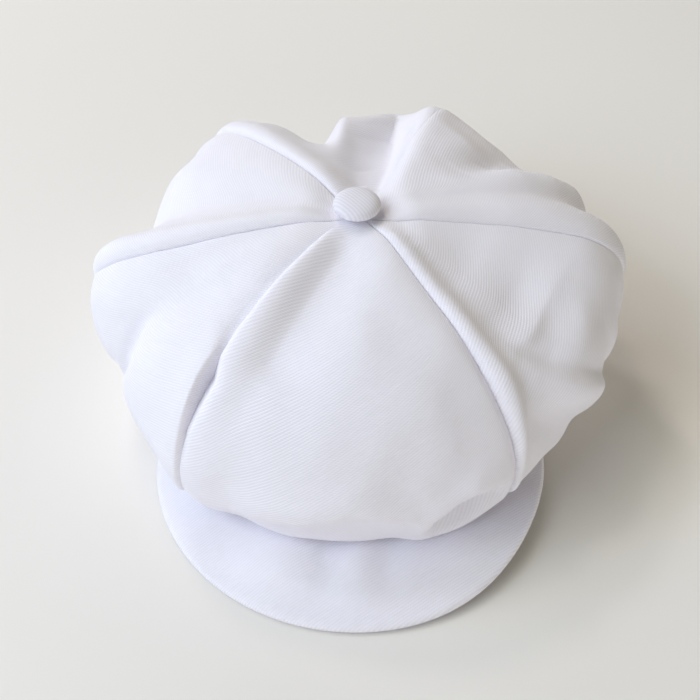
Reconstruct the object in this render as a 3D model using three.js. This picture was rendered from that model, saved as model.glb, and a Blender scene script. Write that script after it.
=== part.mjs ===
// A child's six-panel cap in white cotton twill: six crown gores, a covered button, a peak and a headband.
// Millimetres, +Z up, the peak towards -Y. Azimuth is in degrees from the front, growing towards +X.
// Every piece is worked out about the middle of the headband. At the end the whole cap is moved so that
// its origin is at the middle of its box, on the surface that it rests on.

import * as THREE from 'three';

// Driving dimensions
const CROWN_TOP = 98;         // height of the cloth at the hole under the button
const HOLE_RADIUS = 2.4;      // hole where the tips of the gores meet
const CLOTH = 1.5;            // crown wall, two layers of twill
const GAP = 0.4;              // space between neighbouring pieces
const BAND_RADIUS_X = 66;     // headband, at the middle of its wall
const BAND_RADIUS_Y = 69;
const BAND_HEIGHT = 20;
const BAND_WALL = 2.4;
const PEAK_ROOT = 9;          // how far the peak lifts the front of the headband
const PEAK_HALF_ANGLE = 78;   // azimuth at which the peak runs out along the headband
const PEAK_THICKNESS = 3;
const PEAK_ARCH = 2;          // rise of the peak between its root and its edge
const PEAK_EDGE = { centreX: -3, centreY: -35, radiusX: 80, radiusY: 88.5, halfAngle: 97 };
const PEAK_ROOT_POWER = 2.5;  // how long the root stays high on its way round the headband
const PEAK_TAPER_POWER = 7;   // how late the peak narrows towards its two ends
const BUTTON_RADIUS = 9;
const BUTTON_DOME = 5;
const BUTTON_ROUND = { back: 0.86, rim: 0.32, shoulder: 0.8, crest: 0.62 };  // shares of its radius and dome
const SHANK_RADIUS = 1.8;
const SHANK_DEPTH = 6;        // how far the shank reaches down from the button's back

// Shape of a gore from the hole (share 0) over the widest point (share RIM) to the headband (share 1)
const RIM = 0.66;
const RUN = 150;              // length of that way, for the flat chart that the folds are drawn on
const SHOULDER = 0.6;         // share of the reach where the top starts to fall
const TOP_FALL = 3;           // fall of the cloth on its way to the shoulder
const SIDE_RISE = 0.55;       // share of the height where the side turns upright
const TUCK = 0.62;            // share of the side's height that hangs below the widest point
const TUCK_REACH = 0.45;      // share of the overhang where the cloth turns in to the headband

// Overhang of the crown, a row for each section: how far it reaches, how high, and how much it droops
const SECTIONS = [
  { azimuth: -178, reach: 97, height: 63, droop: 2 },
  { azimuth: -171, reach: 84, height: 57, droop: 2 },
  { azimuth: -163, reach: 93, height: 56, droop: 2 },
  { azimuth: -143, reach: 102, height: 58, droop: 2 },
  { azimuth: -124, reach: 97, height: 57, droop: 2 },
  { azimuth: -107, reach: 91, height: 55, droop: 3 },
  { azimuth: -94, reach: 103, height: 53, droop: 4 },
  { azimuth: -76, reach: 103, height: 45, droop: 6 },
  { azimuth: -60, reach: 99, height: 38, droop: 9 },
  { azimuth: -42, reach: 99, height: 32, droop: 14 },
  { azimuth: -30, reach: 101, height: 27, droop: 18 },
  { azimuth: -14, reach: 97, height: 28, droop: 22 },
  { azimuth: 8, reach: 96, height: 29, droop: 22 },
  { azimuth: 24, reach: 96, height: 31, droop: 20 },
  { azimuth: 41, reach: 95, height: 33, droop: 14 },
  { azimuth: 58, reach: 100, height: 38, droop: 9 },
  { azimuth: 77, reach: 101, height: 46, droop: 6 },
  { azimuth: 99, reach: 105, height: 58, droop: 4 },
  { azimuth: 116, reach: 102, height: 60, droop: 3 },
  { azimuth: 135, reach: 93, height: 60, droop: 2 },
  { azimuth: 158, reach: 101, height: 63, droop: 2 },
  { azimuth: 174, reach: 98, height: 64, droop: 2 },
];

// Seams between the gores: azimuth at the rim and at the top, the side that the allowance is pressed to,
// the height of the roll it makes there, the trough beyond the roll, and the gore that follows the seam
const SEAMS = [
  { rim: -143, top: -138, side: -1, roll: 1.4, trough: 1.0, gore: 'panel_back_left' },
  { rim: -94, top: -80, side: -1, roll: 2.2, trough: 2.6, gore: 'panel_front_left' },
  { rim: -42, top: -38, side: -1, roll: 2.0, trough: 0.6, gore: 'panel_front' },
  { rim: 41, top: 33, side: 1, roll: 2.2, trough: 3.6, gore: 'panel_front_right' },
  { rim: 99, top: 88, side: 1, roll: 1.6, trough: 2.0, gore: 'panel_back_right' },
  { rim: 158, top: 155, side: -1, roll: 1.2, trough: 0.5, gore: 'panel_back' },
];
const CREASE = { depth: 2.6, width: 4.2 };     // groove along the seam itself
const RIB = { height: 1.8, width: 16 };        // stiff ridge that the seam holds up
const ROLL = { offset: 5.2, width: 4 };        // pressed allowance beside the seam
const TROUGH = { offset: 15, width: 7.5 };     // hollow beyond the allowance

// Folds, dents and bulges: the two ends as azimuth and share, the half width, and the lift (down is negative)
const FOLDS = [
  { what: 'dent below the button', from: [-8, 0.1], to: [-16, 0.3], width: 8, lift: -4.5 },
  { what: 'valley along the front left seam', from: [-18, 0.3], to: [-29, 0.52], width: 6, lift: -2.5 },
  { what: 'the same valley near the rim', from: [-29, 0.52], to: [-33, 0.7], width: 7, lift: -2.5 },
  { what: 'soft dent in the front', from: [10, 0.24], to: [22, 0.46], width: 9, lift: -1.5 },
  { what: 'dimple at the front right', from: [24, 0.56], to: [30, 0.64], width: 7, lift: -2.2 },
  { what: 'tuck above the peak', from: [12, 0.7], to: [28, 0.72], width: 7, lift: -4 },
  { what: 'slanting valley on the left', from: [-57, 0.36], to: [-62, 0.68], width: 8, lift: -4 },
  { what: 'sag at the back', from: [175, 0.2], to: [178, 0.62], width: 14, lift: -6 },
  { what: 'deep dent behind the right seam', from: [132, 0.35], to: [126, 0.66], width: 13, lift: -7 },
  { what: 'crease on the right', from: [66, 0.56], to: [78, 0.6], width: 6, lift: -2.5 },
  { what: 'bulge on the right', from: [60, 0.62], to: [66, 0.66], width: 7, lift: 2.5 },
];
const FOLD_BLEND = 3;         // folds that meet run into each other instead of adding up

// Where along a gore the seams and folds fade out, as shares
const FADE_IN = [0.05, 0.14];
const TROUGH_FADE_IN = [0.05, 0.3];
const FADE_OUT = [0.8, 0.97];

// Facets
const GORE_COLUMNS = 12;
const GORE_ROWS = 26;
const BAND_STEP = 5;          // degrees
const PEAK_COLUMNS = 30;
const PEAK_ROWS = 6;
const PEAK_TIP = 0.985;       // share of the peak's half angle that is cut square
const BUTTON_SIDES = 24;
const BUTTON_CURVE_STEPS = 5;

const radians = THREE.MathUtils.degToRad;
const fade = (value, [low, high]) => THREE.MathUtils.smoothstep(value, low, high);
const bell = (distance, width) => Math.exp(-((distance / width) ** 2));

const bezier = (a, b, c, d, t) => {
  const u = 1 - t;
  return u ** 3 * a + 3 * u * u * t * b + 3 * u * t * t * c + t ** 3 * d;
};

// Radius of an oval at an azimuth
function ovalRadius(azimuth, radiusX, radiusY) {
  const angle = radians(azimuth);
  return 1 / Math.hypot(Math.sin(angle) / radiusX, Math.cos(angle) / radiusY);
}

// Point at an azimuth, a radius and a height
function around(azimuth, radius, height) {
  const angle = radians(azimuth);
  return new THREE.Vector3(radius * Math.sin(angle), -radius * Math.cos(angle), height);
}

// One column of the sections, read smoothly at any azimuth
function section(azimuth, column) {
  const count = SECTIONS.length;
  const first = SECTIONS[0].azimuth;
  const turned = THREE.MathUtils.euclideanModulo(azimuth - first, 360) + first;
  const row = SECTIONS.findLastIndex((item) => item.azimuth <= turned);
  const at = (offset) => {
    const index = row + offset;
    const item = SECTIONS[THREE.MathUtils.euclideanModulo(index, count)];
    return { azimuth: item.azimuth + 360 * Math.floor(index / count), value: item[column] };
  };
  const [before, start, end, after] = [at(-1), at(0), at(1), at(2)];
  const span = end.azimuth - start.azimuth;
  const startSlope = (end.value - before.value) / (end.azimuth - before.azimuth);
  const endSlope = (after.value - start.value) / (after.azimuth - start.azimuth);
  const leave = start.value + startSlope * span / 3;
  const arrive = end.value - endSlope * span / 3;
  return bezier(start.value, leave, arrive, end.value, (turned - start.azimuth) / span);
}

// Radius and height of the smooth crown
function meridian(azimuth, share) {
  const reach = section(azimuth, 'reach');
  const height = section(azimuth, 'height');
  if (share <= RIM) {
    const t = share / RIM;
    return {
      radius: bezier(HOLE_RADIUS, SHOULDER * reach, reach, reach, t),
      height: bezier(CROWN_TOP, CROWN_TOP - TOP_FALL, height + SIDE_RISE * (CROWN_TOP - height), height, t),
    };
  }
  const t = (share - RIM) / (1 - RIM);
  const bandRadius = ovalRadius(azimuth, BAND_RADIUS_X, BAND_RADIUS_Y);
  const seat = BAND_HEIGHT + GAP;
  const turnIn = bandRadius + TUCK_REACH * (reach - bandRadius);
  const hang = height - TUCK * (height - seat) - section(azimuth, 'droop');
  return {
    radius: bezier(reach, reach, turnIn, bandRadius, t),
    height: bezier(height, hang, seat, seat, t),
  };
}

function smoothCrown(azimuth, share) {
  const { radius, height } = meridian(azimuth, share);
  return around(azimuth, radius, height);
}

// Outward direction of the smooth crown, from points a small turn and a small step apart
function crownNormal(azimuth, share) {
  const turn = 0.5;
  const step = 0.004;
  const across = smoothCrown(azimuth + turn, share).sub(smoothCrown(azimuth - turn, share));
  const low = Math.min(share + step, 1);
  const high = Math.max(share - step, 0);
  const down = smoothCrown(azimuth, low).sub(smoothCrown(azimuth, high));
  return down.cross(across).normalize();
}

function seamAzimuth(index, share) {
  const seam = SEAMS[index % SEAMS.length];
  const turns = Math.floor(index / SEAMS.length);
  return THREE.MathUtils.lerp(seam.top, seam.rim, Math.min(share / RIM, 1)) + 360 * turns;
}

// Lift beside a seam, at a distance from it on one of its sides
function seamLift(index, distance, side, share) {
  const seam = SEAMS[index % SEAMS.length];
  const strength = fade(share, FADE_IN) * (1 - fade(share, FADE_OUT));
  let lift = RIB.height * bell(distance, RIB.width);
  lift -= CREASE.depth * Math.max(1 - distance / CREASE.width, 0) ** 2;
  if (side === seam.side) {
    lift += seam.roll * bell(distance - ROLL.offset, ROLL.width);
    lift -= seam.trough * bell(distance - TROUGH.offset, TROUGH.width) * fade(share, TROUGH_FADE_IN);
  }
  return lift * strength;
}

// Flat chart of the crown: the azimuth stays and the share becomes a distance from the middle
function chart(azimuth, share) {
  const angle = radians(azimuth);
  return new THREE.Vector3(RUN * share * Math.sin(angle), -RUN * share * Math.cos(angle), 0);
}

const FOLD_LINES = FOLDS.map((fold) => new THREE.Line3(chart(...fold.from), chart(...fold.to)));

function foldLift(azimuth, share) {
  const place = chart(azimuth, share);
  let raised = 0;
  let sunk = 0;
  FOLDS.forEach((fold, index) => {
    const nearest = FOLD_LINES[index].closestPointToPoint(place, true, new THREE.Vector3());
    const lift = (Math.abs(fold.lift) * bell(place.distanceTo(nearest), fold.width)) ** FOLD_BLEND;
    if (fold.lift > 0) {
      raised += lift;
    } else {
      sunk += lift;
    }
  });
  const total = raised ** (1 / FOLD_BLEND) - sunk ** (1 / FOLD_BLEND);
  return total * (1 - fade(share, FADE_OUT));
}

// Point of a gore, across from its first seam (0) to its second (1), at a depth under its outer face
function gorePoint(index, across, share, depth) {
  const first = seamAzimuth(index, share);
  const second = seamAzimuth(index + 1, share);
  const middleRadius = meridian((first + second) / 2, share).radius;
  const margin = THREE.MathUtils.radToDeg(GAP / 2 / middleRadius);
  const azimuth = THREE.MathUtils.lerp(first + margin, second - margin, across);
  const { radius } = meridian(azimuth, share);
  let lift = foldLift(azimuth, share);
  lift += seamLift(index, radians(azimuth - first) * radius, 1, share);
  lift += seamLift(index + 1, radians(second - azimuth) * radius, -1, share);
  return smoothCrown(azimuth, share).addScaledVector(crownNormal(azimuth, share), lift - depth);
}

// Closed solid between two faces of points, both as rows of columns; the first face looks outward
function shell(outer, inner) {
  const rows = outer.length;
  const columns = outer[0].length;
  const faces = [outer, inner];
  const positions = faces.flat(2).flatMap((point) => point.toArray());
  const vertex = (face, row, column) => (face * rows + row) * columns + column;
  const index = [];
  const quad = (a, b, c, d) => index.push(a, b, c, a, c, d);
  for (let row = 0; row + 1 < rows; row += 1) {
    for (let column = 0; column + 1 < columns; column += 1) {
      const corners = (face) => [
        vertex(face, row, column),
        vertex(face, row + 1, column),
        vertex(face, row + 1, column + 1),
        vertex(face, row, column + 1),
      ];
      quad(...corners(0));
      quad(...corners(1).reverse());
    }
  }
  const last = { row: rows - 1, column: columns - 1 };
  for (let row = 0; row + 1 < rows; row += 1) {
    const next = row + 1;
    quad(vertex(0, next, 0), vertex(0, row, 0), vertex(1, row, 0), vertex(1, next, 0));
    const edge = last.column;
    quad(vertex(0, row, edge), vertex(0, next, edge), vertex(1, next, edge), vertex(1, row, edge));
  }
  for (let column = 0; column + 1 < columns; column += 1) {
    const next = column + 1;
    quad(vertex(0, 0, column), vertex(0, 0, next), vertex(1, 0, next), vertex(1, 0, column));
    const edge = last.row;
    quad(vertex(0, edge, next), vertex(0, edge, column), vertex(1, edge, column), vertex(1, edge, next));
  }
  const geometry = new THREE.BufferGeometry();
  geometry.setAttribute('position', new THREE.Float32BufferAttribute(positions, 3));
  geometry.setIndex(index);
  geometry.computeVertexNormals();
  return geometry;
}

const grid = (rows, columns, point) => Array.from({ length: rows + 1 }, (_row, row) => (
  Array.from({ length: columns + 1 }, (_column, column) => point(row / rows, column / columns))
));

// A gore has narrow facets beside its seams and wide ones in its middle
function goreGeometry(index) {
  const spread = (share) => (1 - Math.cos(Math.PI * share)) / 2;
  const face = (depth) => grid(GORE_ROWS, GORE_COLUMNS, (down, across) => (
    gorePoint(index, spread(across), down, depth)
  ));
  return shell(face(0), face(CLOTH));
}

// How far the peak lifts the headband, at a share of its half angle
function peakLift(share) {
  return PEAK_ROOT * Math.max(1 - Math.abs(share) ** PEAK_ROOT_POWER, 0);
}

function bandGeometry() {
  const steps = 360 / BAND_STEP;
  const ring = (offset) => grid(1, steps, (down, turn) => {
    const azimuth = turn === 1 ? 0 : 360 * turn;
    const fromFront = azimuth > 180 ? azimuth - 360 : azimuth;
    const radius = ovalRadius(azimuth, BAND_RADIUS_X + offset, BAND_RADIUS_Y + offset);
    return around(azimuth, radius, down === 0 ? BAND_HEIGHT : peakLift(fromFront / PEAK_HALF_ANGLE));
  });
  return closedRing(ring(BAND_WALL / 2), ring(-BAND_WALL / 2));
}

// A shell that closes on itself: its two end walls fall together and are left out
function closedRing(outer, inner) {
  const rows = outer.length;
  const columns = outer[0].length - 1;
  const positions = [outer, inner].flatMap((face) => face.flatMap((row) => row.slice(0, columns)))
    .flatMap((point) => point.toArray());
  const vertex = (face, row, column) => (face * rows + row) * columns + (column % columns);
  const index = [];
  const quad = (a, b, c, d) => index.push(a, b, c, a, c, d);
  for (let column = 0; column < columns; column += 1) {
    const next = column + 1;
    const low = rows - 1;
    quad(vertex(0, 0, column), vertex(0, low, column), vertex(0, low, next), vertex(0, 0, next));
    quad(vertex(1, 0, next), vertex(1, low, next), vertex(1, low, column), vertex(1, 0, column));
    quad(vertex(0, 0, next), vertex(1, 0, next), vertex(1, 0, column), vertex(0, 0, column));
    quad(vertex(0, low, column), vertex(1, low, column), vertex(1, low, next), vertex(0, low, next));
  }
  const geometry = new THREE.BufferGeometry();
  geometry.setAttribute('position', new THREE.Float32BufferAttribute(positions, 3));
  geometry.setIndex(index);
  geometry.computeVertexNormals();
  return geometry;
}

// The peak runs from the headband's face to an oval edge, and tapers to nothing at its two ends
function peakGeometry() {
  const rootX = BAND_RADIUS_X + BAND_WALL / 2 + GAP;
  const rootY = BAND_RADIUS_Y + BAND_WALL / 2 + GAP;
  const face = (thickness) => grid(PEAK_ROWS, PEAK_COLUMNS, (out, across) => {
    const share = PEAK_TIP * (2 * across - 1);
    const azimuth = PEAK_HALF_ANGLE * share;
    const root = around(azimuth, ovalRadius(azimuth, rootX, rootY), 0);
    const angle = radians(PEAK_EDGE.halfAngle * share);
    const edge = new THREE.Vector3(
      PEAK_EDGE.centreX + PEAK_EDGE.radiusX * Math.sin(angle),
      PEAK_EDGE.centreY - PEAK_EDGE.radiusY * Math.cos(angle),
      0,
    );
    const taper = Math.cbrt(1 - Math.abs(share) ** PEAK_TAPER_POWER);
    const point = root.lerp(edge, out * taper);
    point.z = peakLift(share) * (1 - out) + PEAK_ARCH * Math.sin(Math.PI * out) * taper + thickness;
    return point;
  });
  return shell(face(PEAK_THICKNESS), face(0));
}

// Low dome with a rounded rim, a flat back and a shank down through the hole
function buttonGeometry() {
  const rim = BUTTON_DOME * BUTTON_ROUND.rim;
  const shoulder = BUTTON_DOME * BUTTON_ROUND.shoulder;
  const crest = BUTTON_RADIUS * BUTTON_ROUND.crest;
  const outline = new THREE.Path();
  outline.moveTo(0, -SHANK_DEPTH);
  outline.lineTo(SHANK_RADIUS, -SHANK_DEPTH);
  outline.lineTo(SHANK_RADIUS, 0);
  outline.lineTo(BUTTON_RADIUS * BUTTON_ROUND.back, 0);
  outline.quadraticCurveTo(BUTTON_RADIUS, 0, BUTTON_RADIUS, rim);
  outline.bezierCurveTo(BUTTON_RADIUS, shoulder, crest, BUTTON_DOME, 0, BUTTON_DOME);
  const lathe = new THREE.LatheGeometry(outline.getPoints(BUTTON_CURVE_STEPS), BUTTON_SIDES);
  lathe.rotateX(Math.PI / 2);
  return lathe;
}

// Materials
const twill = (color) => new THREE.MeshStandardMaterial({ color, roughness: 0.85, metalness: 0 });
const GORE_COLOUR = 0xe9ebf3;
const PEAK_COLOUR = 0xe6e9f2;
const TRIM_COLOUR = 0xe4e6ec;

// Assembly
const cap = new THREE.Group();
function addPiece(name, geometry, material) {
  const mesh = new THREE.Mesh(geometry, material);
  mesh.name = name;
  cap.add(mesh);
  return mesh;
}

SEAMS.forEach((seam, index) => addPiece(seam.gore, goreGeometry(index), twill(GORE_COLOUR)));
const button = addPiece('button', buttonGeometry(), twill(TRIM_COLOUR));
button.position.z = CROWN_TOP + GAP;
addPiece('peak', peakGeometry(), twill(PEAK_COLOUR));
addPiece('headband', bandGeometry(), twill(TRIM_COLOUR));

const box = new THREE.Box3().setFromObject(cap, true);
const middle = box.getCenter(new THREE.Vector3());
cap.position.set(-middle.x, -middle.y, -box.min.z);

const part = new THREE.Group();
part.add(cap);

export default part;
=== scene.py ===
"""A child's six-panel cap in white cotton twill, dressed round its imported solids.

Shapes are worked out in millimetres about the middle of the headband, as the solids are: +Z up, the peak
towards -Y, azimuth in degrees from the front and growing towards +X. Meshes are in metres in the shared
frame.
"""

import math
from collections import namedtuple

import bpy
import numpy as np
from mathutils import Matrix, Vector


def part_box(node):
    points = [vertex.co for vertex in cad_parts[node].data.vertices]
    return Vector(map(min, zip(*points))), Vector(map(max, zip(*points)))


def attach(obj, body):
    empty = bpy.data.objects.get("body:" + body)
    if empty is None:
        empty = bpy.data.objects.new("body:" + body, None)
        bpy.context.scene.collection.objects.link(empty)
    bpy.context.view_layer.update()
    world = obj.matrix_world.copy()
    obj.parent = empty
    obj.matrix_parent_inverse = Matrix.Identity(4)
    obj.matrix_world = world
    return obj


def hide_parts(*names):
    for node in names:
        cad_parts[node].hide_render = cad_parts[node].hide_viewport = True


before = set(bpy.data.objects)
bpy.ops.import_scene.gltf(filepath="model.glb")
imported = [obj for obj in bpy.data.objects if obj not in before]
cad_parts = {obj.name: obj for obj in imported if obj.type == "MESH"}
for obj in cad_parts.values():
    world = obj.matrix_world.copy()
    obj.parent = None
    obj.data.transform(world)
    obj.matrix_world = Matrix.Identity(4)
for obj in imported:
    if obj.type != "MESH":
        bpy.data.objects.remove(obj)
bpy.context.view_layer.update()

MM = 0.001
BODY = "root"

# Driving dimensions of the cap
CROWN_TOP = 98.0          # height of the cloth at the hole under the button
HOLE_RADIUS = 2.4
CLOTH = 1.5               # crown wall
SEAM_GAP = 0.05           # left between two gores so that they don't share a face
BAND_RADIUS_X = 66.0      # headband, at the middle of its wall
BAND_RADIUS_Y = 69.0
BAND_HEIGHT = 20.0
BAND_WALL = 2.4
BAND_CLEAR = 0.4          # between the headband and what meets it
PEAK_ROOT = 9.0           # how far the peak lifts the front of the headband
PEAK_HALF_ANGLE = 78.0    # azimuth at which the peak runs out along the headband
PEAK_THICKNESS = 3.0
PEAK_ARCH = 2.0           # rise of the peak between its root and its edge
PEAK_EDGE_CENTRE = (-3.0, -35.0)
PEAK_EDGE_RADII = (80.0, 88.5)
PEAK_EDGE_HALF_ANGLE = 97.0
PEAK_EDGE_TURN = 0.75     # width of the edge's rounding, as a share of the thickness
PEAK_ROOT_POWER = 2.5     # how long the root stays high on its way round the headband
PEAK_TAPER_POWER = 7.0    # how late the peak narrows towards its two ends
PEAK_TIP = 0.985          # share of the half angle at which the two ends are cut square
PEAK_RAISE = 7.0          # how far the right part of the edge stands up from the table
PEAK_RAISE_AT = 0.66      # where it stands highest, as a share of the way to the right tip
PEAK_RAISE_WIDTH = 0.3
PEAK_RAISE_POWER = 1.5    # how late the peak rises on its way from the root to the edge
PEAK_SPREAD = 2.6         # how far the edge reaches beyond its oval, to the right of the middle
PEAK_SPREAD_AT = 0.36     # where it reaches furthest, as a share of the way to the right tip
PEAK_SPREAD_WIDTH = 0.28
BUTTON_RADIUS = 9.0
BUTTON_DOME = 5.0
BUTTON_RIM = 1.0          # height of the button's widest point above its back
BUTTON_BACK = 0.45        # share of the radius inside which the back is flat
BUTTON_BACK_POWER = 6     # how late the back rises to the rim
BUTTON_ROUND = 0.72       # power of the cosine that rounds the side: smaller is fuller
BUTTON_CREST = 0.9        # power of the sine that rounds the top
PLEATS = 34               # small pleats of the cloth that is gathered under the button
PLEAT_HEIGHT = 0.10
PLEAT_FADE = 9.0          # how soon the pleats die out above the rim

# Shape of a gore from the hole (share 0) over the widest point (share RIM) to the headband (share 1)
RIM = 0.66
RUN = 150.0               # length of that way, for the flat chart that the folds are drawn on
SHOULDER = 0.6            # share of the reach where the top starts to fall
TOP_FALL = 3.0            # fall of the cloth on its way to the shoulder
SIDE_RISE = 0.55          # share of the height where the side turns upright
TUCK = 0.62               # share of the side's height that hangs below the widest point
TUCK_REACH = 0.45         # share of the overhang where the cloth turns in to the headband

# Overhang of the crown: how far it reaches at an azimuth, how high, and how much it droops
Section = namedtuple("Section", "azimuth reach height droop")
SECTIONS = [
    Section(-179, 97, 59, 2),
    Section(-168, 97, 57, 2),
    Section(-153, 99, 58, 2),
    Section(-143, 101, 58, 2),
    Section(-124, 96, 56, 2),
    Section(-107, 90, 52, 3),
    Section(-95, 103, 51, 4),
    Section(-87, 105, 49, 5),
    Section(-80, 101, 46, 5),
    Section(-76, 97, 45, 5),
    Section(-72, 96, 43, 7),
    Section(-67, 98, 41, 8),
    Section(-58, 99, 37, 9),
    Section(-50, 99, 34, 12),
    Section(-42, 99, 31, 15),
    Section(-36, 99, 30, 20),
    Section(-30, 97, 31, 23),
    Section(-24, 97, 29, 25.5),
    Section(-14, 97, 28, 27),
    Section(8, 96, 29, 27),
    Section(24, 97, 28, 27),
    Section(33, 97, 31, 20),
    Section(40, 96, 33, 14),
    Section(50, 96, 35, 11),
    Section(60, 100, 39, 9),
    Section(77, 101, 46, 6),
    Section(97, 106, 56, 4),
    Section(107, 99, 57, 3),
    Section(116, 103, 61, 3),
    Section(135, 93, 60, 2),
    Section(158, 101, 62, 2),
    Section(164, 108, 56, 2),
    Section(171, 113, 51, 2),
]

# Seams: azimuth at the rim and the top, its hook beside the button, the ridge that the seam holds up, the
# radius of the turned edge on both sides of it, the gore that follows the seam and that gore's twill, in
# degrees from its axis
Seam = namedtuple("Seam", "rim top hook rib lip gore twill")
SEAMS = [
    Seam(-142, -143, 0, 1.2, 1.2, "panel_back_left", 123),
    Seam(-94, -76, 25, 1.0, 1.0, "panel_front_left", 118),
    Seam(-41.5, -43, -6, 0.6, 0.1, "panel_front", 126),
    Seam(37.6, 36.4, 3, 0.6, 0.8, "panel_front_right", 117),
    Seam(93.5, 90, -45, 1.0, 1.0, "panel_back_right", 36),
    Seam(158, 155, 0, 1.6, 0.1, "panel_back", 123),
]
HOOK_SHARE = 0.05         # how soon the hooks die out
RIB_WIDTH = 16.0          # of the ridge

# Cloth beside a seam, before it (-1) or behind it (1), at a few shares: how high it rolls up, how far from
# the seam that roll is highest, how far it tails off beyond, how deep the edge falls into the seam and how
# wide that turn is
Edge = namedtuple("Edge", "gore side share roll crest tail fall turn")
EDGES = [
    Edge("panel_back_left", -1, 0.05, 1.0, 5.0, 5.0, 0.8, 1.5),
    Edge("panel_back_left", -1, 0.66, 2.6, 8.0, 8.0, 1.2, 1.5),
    Edge("panel_back_left", 1, 0.05, 0.0, 4.0, 6.0, 0.5, 7.0),
    Edge("panel_front_left", -1, 0.05, 1.6, 4.0, 3.5, 0.4, 2.0),
    Edge("panel_front_left", -1, 0.40, 3.0, 7.0, 6.0, 0.6, 2.0),
    Edge("panel_front_left", -1, 0.66, 2.6, 8.0, 8.0, 0.6, 2.0),
    Edge("panel_front_left", 1, 0.05, 0.0, 4.0, 6.0, 0.4, 7.0),
    Edge("panel_front", -1, 0.05, 0.0, 5.0, 8.0, 1.2, 6.0),
    Edge("panel_front", -1, 0.28, 0.2, 5.0, 8.0, 1.8, 6.0),
    Edge("panel_front", -1, 0.34, 1.4, 2.5, 8.0, 1.6, 1.5),
    Edge("panel_front", -1, 0.40, 2.4, 2.0, 8.0, 4.8, 1.2),
    Edge("panel_front", -1, 0.48, 2.2, 2.0, 7.0, 2.2, 0.9),
    Edge("panel_front", -1, 0.64, 1.2, 2.0, 5.0, 0.5, 0.8),
    Edge("panel_front", 1, 0.05, 1.2, 2.4, 8.0, 0.0, 2.0),
    Edge("panel_front", 1, 0.28, 1.5, 2.8, 9.0, 0.0, 2.0),
    Edge("panel_front", 1, 0.34, 1.4, 3.0, 8.0, 1.2, 2.5),
    Edge("panel_front", 1, 0.39, 0.6, 6.0, 8.0, 5.4, 3.6),
    Edge("panel_front", 1, 0.45, 0.6, 5.0, 8.0, 3.8, 3.2),
    Edge("panel_front", 1, 0.52, 0.4, 4.0, 7.0, 1.4, 1.8),
    Edge("panel_front", 1, 0.64, 0.2, 4.0, 6.0, 0.3, 1.5),
    Edge("panel_front_right", -1, 0.05, 0.0, 4.0, 6.0, 0.2, 3.0),
    Edge("panel_front_right", -1, 0.26, 0.0, 4.0, 6.0, 0.4, 3.0),
    Edge("panel_front_right", -1, 0.38, 0.0, 4.0, 6.0, 1.2, 2.0),
    Edge("panel_front_right", -1, 0.50, 0.0, 4.0, 6.0, 0.8, 2.0),
    Edge("panel_front_right", 1, 0.05, 1.2, 3.0, 4.0, 0.3, 1.5),
    Edge("panel_front_right", 1, 0.20, 2.2, 4.4, 5.0, 0.6, 1.2),
    Edge("panel_front_right", 1, 0.43, 3.8, 6.0, 4.5, 1.0, 1.2),
    Edge("panel_front_right", 1, 0.56, 2.8, 3.6, 3.4, 0.9, 1.2),
    Edge("panel_front_right", 1, 0.66, 0.8, 2.0, 2.4, 0.3, 1.0),
    Edge("panel_back_right", -1, 0.05, 0.0, 4.0, 8.0, 0.4, 8.0),
    Edge("panel_back_right", -1, 0.66, 0.0, 4.0, 8.0, 0.9, 8.0),
    Edge("panel_back_right", 1, 0.05, 1.0, 4.0, 8.0, 0.3, 2.0),
    Edge("panel_back_right", 1, 0.30, 1.8, 8.0, 10.0, 0.4, 2.0),
    Edge("panel_back_right", 1, 0.66, 1.8, 14.0, 12.0, 0.4, 2.0),
    Edge("panel_back", -1, 0.05, 0.5, 3.0, 6.0, 0.0, 2.0),
    Edge("panel_back", 1, 0.05, 0.0, 4.0, 6.0, 0.0, 2.0),
]

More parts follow.
